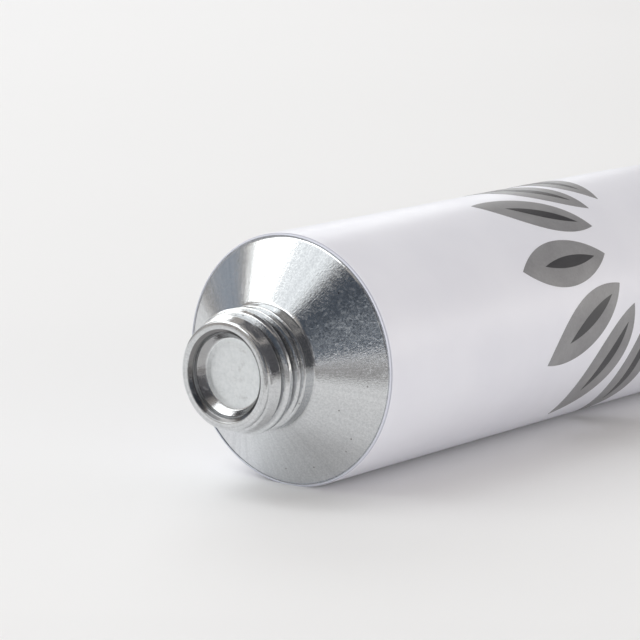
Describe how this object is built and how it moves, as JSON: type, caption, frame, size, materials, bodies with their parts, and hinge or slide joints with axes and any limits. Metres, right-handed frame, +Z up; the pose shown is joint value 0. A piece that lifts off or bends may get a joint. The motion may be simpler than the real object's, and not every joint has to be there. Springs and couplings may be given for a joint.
{
  "type": "collapsible aluminium tube",
  "caption": "Round metal squeeze tube lying on its side, white enamelled, with a bare conical shoulder, a screw neck sealed by a membrane and a folded flat end.",
  "frame": {"origin": "on the table, under the middle of the tube's bounding box", "axes": "+X along the tube's axis from the mouth to the folded end, +Z up from the table, -Y towards the side with the print"},
  "size_m": [0.1298, 0.0324, 0.0249],
  "materials": {
    "aluminium": "satin",
    "white_enamel": "gloss",
    "grey_ink": "satin",
    "dark_ink": "satin"
  },
  "bodies": {
    "root": {"tube": "aluminium", "white_enamel": "white_enamel", "grey_print": "grey_ink", "dark_print": "dark_ink"}
  },
  "joints": []
}
